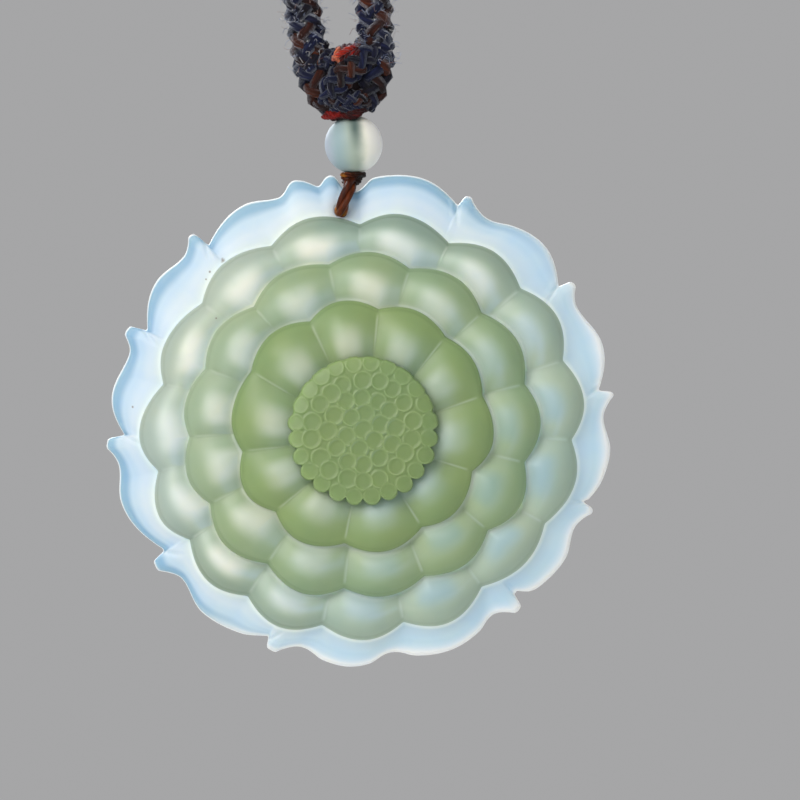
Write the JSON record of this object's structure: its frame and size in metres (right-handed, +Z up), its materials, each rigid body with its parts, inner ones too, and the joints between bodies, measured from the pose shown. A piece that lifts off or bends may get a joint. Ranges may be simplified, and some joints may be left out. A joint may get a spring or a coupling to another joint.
{
  "type": "jade lotus pendant on a braided neck cord",
  "caption": "Round carved jade lotus medallion with a thorned rim, hung by a thread through a jade bead from a knotted braided neck cord.",
  "frame": {"origin": "inner top of the neck loop, where the necklace hangs", "axes": "+Z up, -Y out of the carved front, +X to the viewer's right as the front is seen"},
  "size_m": [0.051, 0.0108, 0.3742],
  "materials": {
    "jade_disc": "satin",
    "jade_ball": "satin",
    "braided_cord": "matte",
    "knot_cord": "matte",
    "brown_thread": "satin",
    "red_thread": "satin"
  },
  "bodies": {
    "necklace": {"neck_cord": "braided_cord", "knot": "knot_cord", "red_tuft": "red_thread", "red_binding": "red_thread", "jade_bead": "jade_ball", "hanging_thread": "brown_thread"},
    "medallion": {"jade_medallion": "jade_disc"}
  },
  "joints": [
    {"name": "medallion_swing", "type": "hinge", "parent": "necklace", "child": "medallion", "pos_m": [-0.0017, 0, -0.32456], "axis": [0, 1, 0], "range_deg": [-5, 5]}
  ]
}
